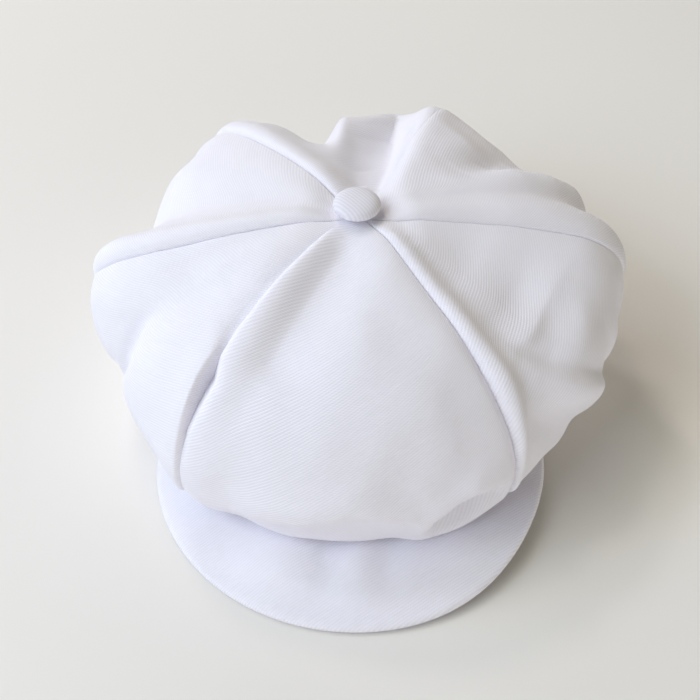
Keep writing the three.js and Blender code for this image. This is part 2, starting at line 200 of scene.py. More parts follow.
# Folds, dents and bulges: points along each line, with the half widths on the left and the right of someone
# who walks along it on the cloth, and the lift there
Crease = namedtuple("Crease", "azimuth share left right lift")
CREASES = {
    # front gore: the valley that starts under the button
    "front_valley": [
        Crease(-10, 0.045, 7, 4, -3.0),
        Crease(-16, 0.08, 9, 4, -5.4),
        Crease(-23, 0.15, 11, 4.5, -5.8),
        Crease(-26, 0.24, 11, 5, -4.8),
        Crease(-27, 0.31, 11, 5, -3.6),
        Crease(-28, 0.37, 12, 5, -1.6),
        Crease(-28, 0.50, 12, 6, -0.6),
    ],
    # light fold beside the valley's foot
    "front_ridge": [
        Crease(-23, 0.35, 8, 5, 0.3),
        Crease(-26, 0.42, 8, 5, 0.9),
        Crease(-29, 0.50, 8, 5, 1.0),
        Crease(-32, 0.58, 8, 6, 0.6),
    ],
    # rise to the button's lower edge
    "front_rise": [
        Crease(2, 0.06, 4, 5, 0.6),
        Crease(16, 0.062, 4, 5, 1.4),
        Crease(36, 0.065, 4, 5, 1.2),
    ],
    # shallow valley right of the middle
    "front_right_valley": [
        Crease(8, 0.16, 12, 8, -1.6),
        Crease(16, 0.24, 12, 8, -1.5),
        Crease(18, 0.31, 8, 6, -0.4),
    ],
    # fullness below that valley
    "front_bulge": [
        Crease(17, 0.31, 9, 9, 0.6),
        Crease(20, 0.42, 9, 10, 1.8),
        Crease(21, 0.54, 8, 9, 1.2),
    ],
    # lump above the lower edge's right half
    "front_lump": [
        Crease(10, 0.585, 7, 6, 0.4),
        Crease(17, 0.60, 7, 6, 1.6),
        Crease(23, 0.61, 7, 6, 1.0),
    ],
    # crest along the lower edge
    "front_crest": [
        Crease(-30, 0.685, 7, 3, 1.0),
        Crease(-22, 0.667, 8, 3, 2.6),
        Crease(-12, 0.645, 9, 3.5, 3.2),
        Crease(-1.5, 0.605, 9, 3.5, 3.2),
        Crease(8, 0.64, 8, 3.5, 3.0),
        Crease(15, 0.665, 7, 3, 3.0),
        Crease(20.5, 0.625, 7, 3, 3.4),
        Crease(26, 0.60, 7, 3, 3.2),
        Crease(33, 0.63, 7, 3, 1.6),
    ],
    # cloth turned under the crest
    "front_turn": [
        Crease(-25, 0.72, 5, 8, -2.0),
        Crease(-8, 0.69, 7, 12, -2.4),
        Crease(8, 0.70, 6, 12, -2.2),
    ],
    # tuck over the peak, at the lower right
    "front_tuck": [
        Crease(19, 0.69, 4, 6, -6.0),
        Crease(24, 0.665, 5, 6, -11.0),
        Crease(32, 0.665, 4, 6, -5.5),
    ],
    # front left gore: the slanting valley that ends as a step in the outline
    "left_valley": [
        Crease(-61, 0.24, 10, 5, -1.6),
        Crease(-67, 0.37, 9, 5, -3.4),
        Crease(-71, 0.50, 8, 4, -3.8),
        Crease(-72, 0.68, 5, 3, -3.0),
    ],
    # back left gore: the furrow beside the roll of the left seam
    "left_furrow": [
        Crease(-100, 0.10, 5, 4, -0.5),
        Crease(-97, 0.20, 6, 5, -1.4),
        Crease(-101, 0.36, 8, 6, -1.8),
        Crease(-106, 0.60, 9, 7, -1.6),
    ],
    # back gore: the wall that sags beside the back right seam
    "back_sag": [
        Crease(160, 0.02, 8, 5, -4.0),
        Crease(163, 0.10, 9, 4, -12.0),
        Crease(165.5, 0.18, 12.5, 4.4, -16.8),
        Crease(167, 0.26, 14, 5, -18.2),
        Crease(168, 0.34, 15, 5.5, -17.2),
        Crease(168.6, 0.42, 15, 6, -13.6),
        Crease(169, 0.50, 15, 7, -8.8),
        Crease(169, 0.62, 15, 8, -1.5),
    ],
    # notch on the left of that wall
    "back_notch": [
        Crease(-163, 0.13, 7, 4, -1.5),
        Crease(-166, 0.22, 9, 5, -5.0),
        Crease(-168.5, 0.34, 10, 5.5, -11.0),
        Crease(-169.5, 0.48, 11, 6, -15.0),
        Crease(-170.5, 0.64, 11, 6, -10.0),
    ],
    # back left gore: hollow at the rim
    "back_left_hollow": [
        Crease(-132, 0.40, 7, 7, -0.3),
        Crease(-132, 0.66, 7, 7, -4.4),
    ],
    # back right gore: lump towards its back
    "back_right_lump": [
        Crease(140, 0.20, 10, 8, 1.8),
        Crease(139, 0.31, 10, 8, 2.6),
    ],
    # dent behind the right seam's roll
    "back_right_dent": [
        Crease(125, 0.22, 7, 5, -1.6),
        Crease(127, 0.31, 5, 4, -4.2),
        Crease(127, 0.40, 7, 8, -3.3),
        Crease(126, 0.66, 13, 13, -5.4),
    ],
    # front right gore: the broad trough beside the front seam's roll
    "right_trough": [
        Crease(56, 0.11, 10, 10, -2.4),
        Crease(61, 0.20, 14, 15, -6.8),
        Crease(63, 0.29, 16, 17, -7.4),
        Crease(64, 0.36, 16, 17, -4.8),
        Crease(65, 0.43, 14, 15, -1.4),
    ],
    # hollow under the button's right edge
    "right_gap": [
        Crease(74, 0.045, 4, 5, -2.0),
        Crease(60, 0.065, 4, 5, -2.6),
        Crease(52, 0.10, 5, 5, -1.4),
    ],
    # soft edge where the trough ends
    "right_edge": [
        Crease(50, 0.375, 8, 4, 0.6),
        Crease(56, 0.37, 8, 4.5, 1.2),
        Crease(62, 0.365, 8, 4.5, 1.1),
        Crease(69, 0.37, 7, 4.5, 0.5),
    ],
    # fullness towards the rim
    "right_bulge": [
        Crease(72, 0.49, 18, 16, 2.4),
        Crease(88, 0.47, 18, 16, 2.4),
    ],
    # crest from the front seam's roll to the rim
    "right_crest": [
        Crease(46, 0.30, 4, 5, 0.2),
        Crease(48, 0.40, 4, 6, 1.6),
        Crease(51, 0.455, 4, 8, 3.0),
        Crease(57.5, 0.535, 4, 9, 4.0),
        Crease(65, 0.62, 4, 10, 3.8),
    ],
    # cloth turned under that crest
    "right_turn": [
        Crease(47, 0.56, 7, 7, -2.0),
        Crease(54, 0.63, 7, 8, -4.0),
        Crease(62, 0.74, 7, 8, -3.4),
    ],
    # valley above the crest
    "right_valley": [
        Crease(52, 0.39, 6, 4, -1.8),
        Crease(57, 0.44, 7, 4, -2.8),
        Crease(61, 0.50, 7, 4, -1.4),
        Crease(68, 0.62, 5, 3, -0.4),
    ],
    # small line in the fullness
    "right_line": [
        Crease(67, 0.36, 4, 4, -0.8),
        Crease(69, 0.43, 4, 4, -1.2),
    ],
    # small bump over the valley
    "right_bump": [
        Crease(66, 0.50, 6, 6, 1.2),
        Crease(73, 0.45, 5, 5, 1.6),
    ],
    # bump in the outline behind the crest's end
    "right_rim_bump": [
        Crease(78, 0.48, 7, 7, 0.8),
        Crease(78, 0.57, 7, 7, 2.6),
        Crease(79, 0.68, 6, 6, 1.8),
    ],
    # notch in the outline in front of that bump
    "right_rim_notch": [
        Crease(74, 0.60, 4, 4, -0.2),
        Crease(74, 0.70, 4, 4, -1.2),
    ],
}
FOLD_BLEND = 3            # folds that meet run into each other instead of adding up

# Where the seams and folds fade along a gore, as shares
FADE_IN = (0.015, 0.08)
FADE_OUT = (0.8, 0.97)

# Small unevenness in layers of waves: wavelength, height, how many, and the seed that they are drawn from
Wave = namedtuple("Wave", "length height count seed")
CLOTH_WAVES = [Wave(46, 0.42, 9, 3), Wave(19, 0.14, 11, 8)]
PEAK_WAVES = [Wave(38, 0.16, 9, 21)]
WAVE_SPREAD = (0.7, 1.4)  # shortest and longest wave of a layer, as shares of its wavelength
WAVE_FADE_IN = (0.05, 0.25)    # where the waves come in along a gore, as shares

# Puckers where the crown is sewn to the headband: their pitch and height, and where they come in along a gore
GATHER_PITCH = 7.0
GATHER_HEIGHT = 0.7
GATHER_FROM = (0.80, 0.96)
GATHER_DRIFT = 1.7        # how far they drift from an even beat, in radians, and over what length
GATHER_DRIFT_LENGTH = 23.0
GATHER_SIZE = 0.6         # middle and swing of the puckers' size, the length of that swing and its start
GATHER_SWING = 0.4
GATHER_SWING_LENGTH = 31.0
GATHER_SWING_START = 0.8
GATHER_HELD = 0.7         # share of the height that the stitches hold down at the headband
GATHER_HELD_FROM = (0.97, 1.0)

# Dents and bumps of the peak's upper face, in millimetres: place, width across, length along the peak, lift
Dent = namedtuple("Dent", "x y width length lift")
PEAK_DENTS = [
    Dent(-53, -88, 9, 16, -1.3),
    Dent(-31, -96, 11, 16, 1.3),
    Dent(-12, -95, 6, 14, -1.6),
    Dent(0, -95, 6, 13, 1.1),
    Dent(11, -95, 6, 13, -1.4),
    Dent(40, -88, 12, 16, 0.9),
]

# Facets
GORE_COLUMNS = 104
GORE_ROWS = 150
PEAK_COLUMNS = 200
PEAK_ROWS = 44
BAND_COLUMNS = 288
BAND_ROWS = 12
BAND_TURN_STEP = 15       # degrees
BUTTON_SIDES = 96
BUTTON_ROWS = 40
BUTTON_BACK_ROWS = 12
SHARP_ANGLE = 60.0        # degrees; edges that turn less are shaded smooth
TINY = 1e-9               # keeps a division clear of zero

# Twill: direction of its ribs in degrees, from +X in plan or along the headband
PEAK_TWILL = 34.0
BUTTON_TWILL = 132.0
BAND_TWILL = 35.0

# The cap's own middle, in the shared frame
band_low, band_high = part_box("headband")
MIDDLE = (band_low + band_high) / 2


def smooth(value, low, high):
    t = np.clip((value - low) / (high - low), 0, 1)
    return t * t * (3 - 2 * t)


def bell(distance, width):
    return np.exp(-((distance / width) ** 2))


def bezier(a, b, c, d, t):
    u = 1 - t
    return u**3 * a + 3 * u * u * t * b + 3 * u * t * t * c + t**3 * d


def oval_radius(azimuth, radius_x, radius_y):
    angle = np.radians(azimuth)
    return 1 / np.hypot(np.sin(angle) / radius_x, np.cos(angle) / radius_y)


def around(azimuth, radius, height):
    angle = np.radians(azimuth)
    return np.stack(np.broadcast_arrays(radius * np.sin(angle), -radius * np.cos(angle), height), axis=-1)


def section(azimuth, name):
    """One column of the sections, read smoothly at any azimuth."""
    places = np.array([row.azimuth for row in SECTIONS], float)
    values = np.array([getattr(row, name) for row in SECTIONS], float)
    places = np.concatenate([places - 360, places, places + 360])
    values = np.tile(values, 3)
    turned = (np.asarray(azimuth, float) + 180) % 360 - 180
    row = np.clip(np.searchsorted(places, turned, side="right") - 1, 1, len(places) - 3)
    span = places[row + 1] - places[row]
    start_slope = (values[row + 1] - values[row - 1]) / (places[row + 1] - places[row - 1])
    end_slope = (values[row + 2] - values[row]) / (places[row + 2] - places[row])
    leave = values[row] + start_slope * span / 3
    arrive = values[row + 1] - end_slope * span / 3
    return bezier(values[row], leave, arrive, values[row + 1], (turned - places[row]) / span)


def meridian(azimuth, share):
    """Radius and height of the smooth crown."""
    reach = section(azimuth, "reach")
    height = section(azimuth, "height")
    band = oval_radius(azimuth, BAND_RADIUS_X, BAND_RADIUS_Y)
    seat = BAND_HEIGHT + BAND_CLEAR
    upper = np.clip(share / RIM, 0, 1)
    lower = np.clip((share - RIM) / (1 - RIM), 0, 1)
    hang = height - TUCK * (height - seat) - section(azimuth, "droop")
    side = height + SIDE_RISE * (CROWN_TOP - height)
    radius = np.where(
        share <= RIM,
        bezier(HOLE_RADIUS, SHOULDER * reach, reach, reach, upper),
        bezier(reach, reach, band + TUCK_REACH * (reach - band), band, lower),
    )
    rise = np.where(
        share <= RIM,
        bezier(CROWN_TOP, CROWN_TOP - TOP_FALL, side, height, upper),
        bezier(height, hang, seat, seat, lower),
    )
    return radius, rise


def smooth_crown(azimuth, share):
    radius, rise = meridian(azimuth, share)
    return around(azimuth, radius, rise)


def crown_normal(azimuth, share):
    """Outward direction of the smooth crown, from points a small turn and a small step apart."""
    turn = 0.5
    step = 0.004
    across = smooth_crown(azimuth + turn, share) - smooth_crown(azimuth - turn, share)
    above = smooth_crown(azimuth, np.maximum(share - step, 0))
    below = smooth_crown(azimuth, np.minimum(share + step, 1))
    normal = np.cross(below - above, across)
    return normal / np.linalg.norm(normal, axis=-1, keepdims=True)


def seam_azimuth(index, share):
    seam = SEAMS[index % len(SEAMS)]
    turns = 360 * (index // len(SEAMS))
    hook = seam.hook * np.exp(-share / HOOK_SHARE)
    return seam.top + (seam.rim - seam.top) * np.clip(share / RIM, 0, 1) + hook + turns


def chart(azimuth, share):
    """Flat chart of the crown: the azimuth stays and the share becomes a distance from the middle."""
    angle = np.radians(azimuth)
    return np.stack([RUN * share * np.sin(angle), -RUN * share * np.cos(angle)], axis=-1)


def line_lift(place, rows):
    """Lift of one fold: that of its nearest stretch, with sides and height that change along it."""
    most = np.zeros(place.shape[:-1])
    for first, second in zip(rows, rows[1:]):
        start = chart(first.azimuth, first.share)
        way = chart(second.azimuth, second.share) - start
        off = place - start
        along = np.clip(off @ way / (way @ way), 0, 1)
        distance = np.linalg.norm(off - along[..., None] * way, axis=-1)
        scale = np.maximum(np.linalg.norm(way) * distance, TINY)
        aside = (way[0] * off[..., 1] - way[1] * off[..., 0]) / scale
        left = first.left + (second.left - first.left) * along
        right = first.right + (second.right - first.right) * along
        height = first.lift + (second.lift - first.lift) * along
        lift = height * bell(distance, right + (left - right) * (1 + np.clip(aside, -1, 1)) / 2)
        most = np.where(np.abs(lift) > np.abs(most), lift, most)
    return most


def fold_lift(azimuth, share):
    place = chart(azimuth, share)
    raised = np.zeros(place.shape[:-1])
    sunk = np.zeros(place.shape[:-1])
    for rows in CREASES.values():
        lift = line_lift(place, rows)
        raised += np.clip(lift, 0, None) ** FOLD_BLEND
        sunk += np.clip(-lift, 0, None) ** FOLD_BLEND
    return (raised ** (1 / FOLD_BLEND) - sunk ** (1 / FOLD_BLEND)) * (1 - smooth(share, *FADE_OUT))


def station(rows, name, share):
    """One column of an edge's rows, read at any share."""
    return np.interp(share, [row.share for row in rows], [getattr(row, name) for row in rows])


def seam_lift(index, distance, side, share):
    """Lift beside a seam, at a distance from it on one of its sides."""
    seam = SEAMS[index % len(SEAMS)]
    rows = [row for row in EDGES if row.gore == seam.gore and row.side == side]
    crest = station(rows, "crest", share)
    climbed = distance / crest
    beyond = bell(distance - crest, station(rows, "tail", share))
    roll = np.where(climbed < 1, climbed * (2 - climbed), beyond)
    lift = seam.rib * bell(distance, RIB_WIDTH) + station(rows, "roll", share) * roll
    lift = lift - station(rows, "fall", share) * bell(distance, station(rows, "turn", share))
    edge = np.clip(1 - distance / seam.lip, 0, 1)
    turned = seam.lip * (1 - np.sqrt(1 - edge**2))
    strength = smooth(share, *FADE_IN) * (1 - smooth(share, *FADE_OUT))
    return lift * strength - turned * smooth(share, 0.0, FADE_IN[0])


def waves(place, rows):
    """Sum of plane waves with seeded directions and phases, for uneven cloth."""
    total = np.zeros(place.shape[:-1])
    for row in rows:
        draw = np.random.default_rng(row.seed)
        for _ in range(row.count):
            heading = draw.uniform(0, 2 * math.pi)
            length = row.length * draw.uniform(*WAVE_SPREAD)
            phase = draw.uniform(0, 2 * math.pi)
            travel = place[..., 0] * math.cos(heading) + place[..., 1] * math.sin(heading)
            total += row.height / math.sqrt(row.count) * np.sin(2 * math.pi * travel / length + phase)
    return total


def gather_lift(azimuth, share):
    """Puckers that run up from the headband and die out below the rim."""
    girth = np.radians(azimuth) * (BAND_RADIUS_X + BAND_RADIUS_Y) / 2
    drift = GATHER_DRIFT * np.sin(girth / GATHER_DRIFT_LENGTH)
    beat = np.sin(2 * math.pi * girth / GATHER_PITCH + drift)
    size = GATHER_SIZE + GATHER_SWING * np.sin(girth / GATHER_SWING_LENGTH + GATHER_SWING_START)
    held = 1 - GATHER_HELD * smooth(share, *GATHER_HELD_FROM)
    return GATHER_HEIGHT * beat * size * smooth(share, *GATHER_FROM) * held


def gore_faces(index):
    """Outer and inner face of a gore, as rows from the hole to the headband and columns between its seams."""
    share = np.linspace(0, 1, GORE_ROWS + 1)[:, None]
    spread = (1 - np.cos(np.pi * np.linspace(0, 1, GORE_COLUMNS + 1)))[None, :] / 2
    first = seam_azimuth(index, share)
    second = seam_azimuth(index + 1, share)
    middle_radius, _ = meridian((first + second) / 2, share)
    margin = np.degrees(SEAM_GAP / 2 / middle_radius)
    azimuth = first + margin + (second - first - 2 * margin) * spread
    share = np.broadcast_to(share, azimuth.shape)
    radius, _ = meridian(azimuth, share)
    lift = fold_lift(azimuth, share)
    lift = lift + seam_lift(index, np.radians(azimuth - first) * radius, 1, share)
    lift = lift + seam_lift(index + 1, np.radians(second - azimuth) * radius, -1, share)
    lift = lift + waves(chart(azimuth, share), CLOTH_WAVES) * smooth(share, *WAVE_FADE_IN)
    lift = lift + gather_lift(azimuth, share)
    base = smooth_crown(azimuth, share)
    normal = crown_normal(azimuth, share)
    return base + lift[..., None] * normal, base + (lift[..., None] - CLOTH) * normal


def grid_quads(rows, columns, start, flip):
    """Quads of a grid of points whose numbers begin at start."""
    number = start + np.arange(rows * columns).reshape(rows, columns)
    corners = [number[:-1, :-1], number[1:, :-1], number[1:, 1:], number[:-1, 1:]]
    quads = np.stack(corners, axis=-1).reshape(-1, 4)
    return quads[:, ::-1] if flip else quads


def rim_quads(outer, inner):
    """Quads between two loops of point numbers of equal length."""
    return np.stack([outer, np.roll(outer, -1), np.roll(inner, -1), inner], axis=-1)


def border(rows, columns, start):
    """Point numbers round the border of a grid, in the order down, across, up, back."""
    number = start + np.arange(rows * columns).reshape(rows, columns)
    return np.concatenate([number[:-1, 0], number[-1, :-1], number[:0:-1, -1], number[0, :0:-1]])


def make_piece(name, points, faces, uv, material, nodes):
    """Mesh piece from points in millimetres, faces as lists of their numbers, and flat places in metres."""
    mesh = bpy.data.meshes.new(name)
    places = points * MM + np.array([MIDDLE.x, MIDDLE.y, 0.0])
    mesh.from_pydata(places.tolist(), [], faces)
    layer = mesh.uv_layers.new(name="flat")
    corners = np.empty(len(mesh.loops), np.int32)
    mesh.loops.foreach_get("vertex_index", corners)
    layer.data.foreach_set("uv", uv[corners].astype(np.float32).ravel())
    mesh.polygons.foreach_set("use_smooth", np.ones(len(mesh.polygons), bool))
    mesh.validate()
    mesh.set_sharp_from_angle(angle=math.radians(SHARP_ANGLE))
    mesh.materials.append(material)
    piece = bpy.data.objects.new(name, mesh)
    bpy.context.scene.collection.objects.link(piece)
    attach(piece, BODY)
    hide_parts(*nodes)
    return piece


# Materials
def srgb(red, green, blue):
    """Colour of the screen, from 0 to 255, as linear light."""
    def linear(value):
        value = value / 255
        return value / 12.92 if value <= 0.04045 else ((value + 0.055) / 1.055) ** 2.4
    return (linear(red), linear(green), linear(blue), 1.0)


def add_node(tree, kind, **settings):
    node = tree.nodes.new(kind)
    for name, value in settings.items():
        setattr(node, name, value)
    return node


def set_inputs(node, values):
    for name, value in values.items():
        node.inputs[name].default_value = value


def add_math(tree, operation, first, second):
    node = add_node(tree, "ShaderNodeMath", operation=operation)
    for socket, value in zip(node.inputs, (first, second)):
        if isinstance(value, (int, float)):
            socket.default_value = value
        else:
            tree.links.new(value, socket)
    return node.outputs["Value"]


# Weave: distance between its ribs, colour on the ribs and in the grooves, and depth of the relief. The
# grooves' darker colour is painted shade in the grooves.
Weave = namedtuple("Weave", "pitch rib groove depth")
CLOTH_WEAVE = Weave(1.0 * MM, srgb(244, 242, 251), srgb(235, 233, 243), 0.097 * MM)
# The button's cloth is painted darker all over than the crown's, as painted shade on the button, and its
# grooves darker still.
BUTTON_WEAVE = Weave(1.25 * MM, srgb(234, 232, 240), srgb(222, 220, 229), 0.05 * MM)
FLOAT_PITCH = 0.62        # half the way along a rib from one crossing thread to the next, in ribs' pitches
RIB_SHARE = 0.70          # parts of the ribs and the crossing threads in the relief and the tone
FLOAT_SHARE = 0.14
FLUFF_SHARE = 0.30        # part of the fluff in the relief
YARN_SHARE = 0.22         # part of the uneven yarn in the tone
GROOVE_TONE = 0.12        # tones that have the grooves' and the ribs' full colour
RIB_TONE = 0.80
CLOTH_SURFACE = {
    "Roughness": 0.86,
    "Specular IOR Level": 0.25,
    "Sheen Weight": 0.12,
    "Sheen Roughness": 0.45,
    "Subsurface Weight": 0.3,
    "Subsurface Radius": (1.0, 1.0, 1.0),
    "Subsurface Scale": 2.0 * MM,
}
RIB_DRIFT = {"Distortion": 0.9, "Detail": 2.0, "Detail Scale": 0.35}
FLOAT_DRIFT = {"Distortion": 1.5, "Detail Scale": 0.5}
FLUFF_NOISE = {"Scale": 1500.0, "Detail": 3.0}
YARN_NOISE = {"Scale": 160.0, "Detail": 2.0}


def band_scale(pitch):
    """Scale that gives a wave texture's upright bands this pitch: at a scale of 1 they are pi / 10 wide."""
    return math.pi / 10 / pitch


def twill_material(name, angle, cloth):
    """Woven diagonal ribs. The angle is the ribs' own direction on the flat cloth."""
    material = bpy.data.materials.new(name)
    material.use_nodes = True
    tree = material.node_tree
    links = tree.links
    shader = tree.nodes["Principled BSDF"]
    set_inputs(shader, CLOTH_SURFACE)

    place = add_node(tree, "ShaderNodeTexCoord")
    turn = add_node(tree, "ShaderNodeMapping")
    turn.inputs["Rotation"].default_value = (0, 0, math.radians(90 - angle))
    links.new(place.outputs["UV"], turn.inputs["Vector"])

    # Ribs run along the turned Y, with threads that drift a little
    ribs = add_node(tree, "ShaderNodeTexWave", wave_type="BANDS", bands_direction="X", wave_profile="SIN")
    ribs.inputs["Scale"].default_value = band_scale(cloth.pitch)
    set_inputs(ribs, RIB_DRIFT)
    links.new(turn.outputs["Vector"], ribs.inputs["Vector"])

    # Floats cross the ribs at a finer pitch
    floats = add_node(tree, "ShaderNodeTexWave", wave_type="BANDS", bands_direction="DIAGONAL",
                      wave_profile="SIN")
    floats.inputs["Scale"].default_value = band_scale(FLOAT_PITCH * cloth.pitch)
    set_inputs(floats, FLOAT_DRIFT)
    links.new(turn.outputs["Vector"], floats.inputs["Vector"])

    # Fluff and uneven yarn
    fluff = add_node(tree, "ShaderNodeTexNoise")
    set_inputs(fluff, FLUFF_NOISE)
    links.new(turn.outputs["Vector"], fluff.inputs["Vector"])
    yarn = add_node(tree, "ShaderNodeTexNoise")
    set_inputs(yarn, YARN_NOISE)
    links.new(turn.outputs["Vector"], yarn.inputs["Vector"])

    rib_relief = add_math(tree, "MULTIPLY", ribs.outputs["Fac"], RIB_SHARE)
    float_relief = add_math(tree, "MULTIPLY", floats.outputs["Fac"], FLOAT_SHARE)
    weave = add_math(tree, "ADD", rib_relief, float_relief)
    height = add_math(tree, "ADD", weave, add_math(tree, "MULTIPLY", fluff.outputs["Fac"], FLUFF_SHARE))
    bump = add_node(tree, "ShaderNodeBump")
    bump.inputs["Strength"].default_value = 1.0
    bump.inputs["Distance"].default_value = cloth.depth
    links.new(height, bump.inputs["Height"])
    links.new(bump.outputs["Normal"], shader.inputs["Normal"])

    # Tone follows the relief, so the low parts of the weave are painted darker: painted shade in the grooves.
    # The uneven yarn adds a random tone on top.
    tone = add_math(tree, "ADD", weave, add_math(tree, "MULTIPLY", yarn.outputs["Fac"], YARN_SHARE))
    ramp = add_node(tree, "ShaderNodeValToRGB")
    ramp.color_ramp.elements[0].position = GROOVE_TONE
    ramp.color_ramp.elements[0].color = cloth.groove
    ramp.color_ramp.elements[1].position = RIB_TONE
    ramp.color_ramp.elements[1].color = cloth.rib
    links.new(tone, ramp.inputs["Fac"])
    links.new(ramp.outputs["Color"], shader.inputs["Base Color"])
    return material


# Crown
def flat_place(face):
    """Place of each point on the flat cloth: across from the middle column, and down along it."""
    middle = face.shape[1] // 2
    across = np.linalg.norm(np.diff(face, axis=1), axis=-1)
    across = np.concatenate([np.zeros((len(face), 1)), np.cumsum(across, axis=1)], axis=1)
    across = across - across[:, middle:middle + 1]
    down = np.linalg.norm(np.diff(face[:, middle], axis=0), axis=-1)
    down = np.concatenate([[0.0], np.cumsum(down)])
    return np.stack([across, np.broadcast_to(down[:, None], across.shape)], axis=-1) * MM


def make_gore(index):
    seam = SEAMS[index]
    outer, inner = gore_faces(index)
    rows, columns = outer.shape[:2]
    count = rows * columns
    points = np.concatenate([outer.reshape(-1, 3), inner.reshape(-1, 3)])
    quads = np.concatenate([
        grid_quads(rows, columns, 0, False),
        grid_quads(rows, columns, count, True),
        rim_quads(border(rows, columns, 0), border(rows, columns, count))[:, ::-1],
    ])
    flat = flat_place(outer)
    uv = np.concatenate([flat.reshape(-1, 2), flat.reshape(-1, 2)])
    # The flat place has the gore's axis as its second number, so the twill's angle from the axis turns round
    material = twill_material("twill_" + seam.gore, 90 - seam.twill, CLOTH_WEAVE)
    piece = make_piece(seam.gore + "_cloth", points, quads.tolist(), uv, material, [seam.gore])


# Headband
def peak_lift(share):
    """Rise of the peak's root, and of the headband over it, at a share of the peak's half angle."""
    return PEAK_ROOT * np.clip(1 - np.abs(share) ** PEAK_ROOT_POWER, 0, None)


def make_headband():
    """A folded band: its wall goes round the lower edge in a half circle."""
    azimuth = np.linspace(-180, 180, BAND_COLUMNS, endpoint=False)[None, :]
    lift = peak_lift(azimuth / PEAK_HALF_ANGLE)
    half = BAND_WALL / 2
    turn = np.radians(np.arange(BAND_TURN_STEP, 180, BAND_TURN_STEP))
    rise = np.linspace(1, 0, BAND_ROWS)
    straight = np.zeros(BAND_ROWS)
    offset = np.concatenate([straight + half, half * np.cos(turn), straight - half])[:, None]
    part = np.concatenate([rise, np.zeros(len(turn)), rise[::-1]])[:, None]
    drop = np.concatenate([straight, half * np.sin(turn), straight])[:, None]
    low = lift + half
    height = low + part * (BAND_HEIGHT - low) - drop
    radius = oval_radius(azimuth, BAND_RADIUS_X + offset, BAND_RADIUS_Y + offset)
    loop = around(np.broadcast_to(azimuth, radius.shape), radius, height)
    rows, columns = loop.shape[:2]
    upper = np.arange(rows * columns).reshape(rows, columns)
    lower = np.roll(upper, -1, axis=0)
    quads = np.stack([upper, lower, np.roll(lower, -1, axis=1), np.roll(upper, -1, axis=1)], axis=-1)
    girth = np.radians(azimuth) * (BAND_RADIUS_X + BAND_RADIUS_Y) / 2
    run = np.concatenate([[0.0], np.cumsum(np.linalg.norm(np.diff(loop[:, 0], axis=0), axis=-1))])
    uv = np.stack(np.broadcast_arrays(girth, run[:, None]), axis=-1).reshape(-1, 2) * MM
    material = twill_material("twill_headband", BAND_TWILL, CLOTH_WEAVE)
    faces = quads.reshape(-1, 4).tolist()
    piece = make_piece("headband_cloth", loop.reshape(-1, 3), faces, uv, material, ["headband"])


# Peak
def make_peak():
    """A stiff board covered with cloth, with a rounded edge. It tapers to nothing at its two ends."""
    share = (PEAK_TIP * np.linspace(-1, 1, PEAK_COLUMNS + 1))[None, :]
    out = np.sin(np.linspace(0, math.pi / 2, PEAK_ROWS + 1))[:, None]
    azimuth = PEAK_HALF_ANGLE * share
    clear = BAND_WALL / 2 + BAND_CLEAR
    root = around(azimuth, oval_radius(azimuth, BAND_RADIUS_X + clear, BAND_RADIUS_Y + clear), 0.0)
    angle = np.radians(PEAK_EDGE_HALF_ANGLE * share)
    raised = bell(share - PEAK_RAISE_AT, PEAK_RAISE_WIDTH)
    spread = PEAK_SPREAD * bell(share - PEAK_SPREAD_AT, PEAK_SPREAD_WIDTH)
    edge = np.stack([
        PEAK_EDGE_CENTRE[0] + (PEAK_EDGE_RADII[0] + spread) * np.sin(angle),
        PEAK_EDGE_CENTRE[1] - (PEAK_EDGE_RADII[1] + spread) * np.cos(angle),
        np.zeros_like(angle),
    ], axis=-1)
    taper = np.cbrt(1 - np.abs(share) ** PEAK_TAPER_POWER)
    way = (edge - root) * taper[..., None]
    flat = root + out[..., None] * way
    width = np.linalg.norm(way, axis=-1)
    middle = peak_lift(share) * (1 - out) + PEAK_ARCH * np.sin(math.pi * out) * taper + PEAK_THICKNESS / 2
    middle = middle + PEAK_RAISE * raised * taper * out**PEAK_RAISE_POWER
    from_edge = (1 - out) * width
    turn = PEAK_THICKNESS * PEAK_EDGE_TURN
    half = PEAK_THICKNESS / 2 * np.sqrt(1 - np.clip(1 - from_edge / turn, 0, 1) ** 2)
    dents = sum(dent.lift * bell(flat[..., 0] - dent.x, dent.width) * bell(flat[..., 1] - dent.y, dent.length)
                for dent in PEAK_DENTS)
    uneven = waves(flat[..., :2], PEAK_WAVES)
    body = half / (PEAK_THICKNESS / 2)
    top = flat.copy()
    top[..., 2] = middle + half + (dents + uneven) * body
    under = flat.copy()
    under[..., 2] = middle - half
    rows, columns = top.shape[:2]
    count = rows * columns
    # The two faces share the points of the edge, which are the last row
    points = np.concatenate([top.reshape(-1, 3), under[:-1].reshape(-1, 3)])
    number = np.arange(count).reshape(rows, columns)
    lower = np.concatenate([count + number[:-1], number[-1:]])
    quads = [
        grid_quads(rows, columns, 0, False),
        np.stack([lower[:-1, :-1], lower[:-1, 1:], lower[1:, 1:], lower[1:, :-1]], axis=-1).reshape(-1, 4),
        np.stack([number[0, :-1], number[0, 1:], lower[0, 1:], lower[0, :-1]], axis=-1),
    ]
    corners = []
    for column, flip in ((0, False), (columns - 1, True)):
        upper_side = number[:, column]
        lower_side = lower[:, column]
        wall = np.stack([upper_side[:-2], lower_side[:-2], lower_side[1:-1], upper_side[1:-1]], axis=-1)
        quads.append(wall[:, ::-1] if flip else wall)
        corner = [int(upper_side[-2]), int(lower_side[-2]), int(upper_side[-1])]
        corners.append(corner[::-1] if flip else corner)
    faces = np.concatenate(quads).tolist() + corners
    material = twill_material("twill_peak", PEAK_TWILL, CLOTH_WEAVE)
    make_piece("peak_cloth", points, faces, points[:, :2] * MM, material, ["peak"])


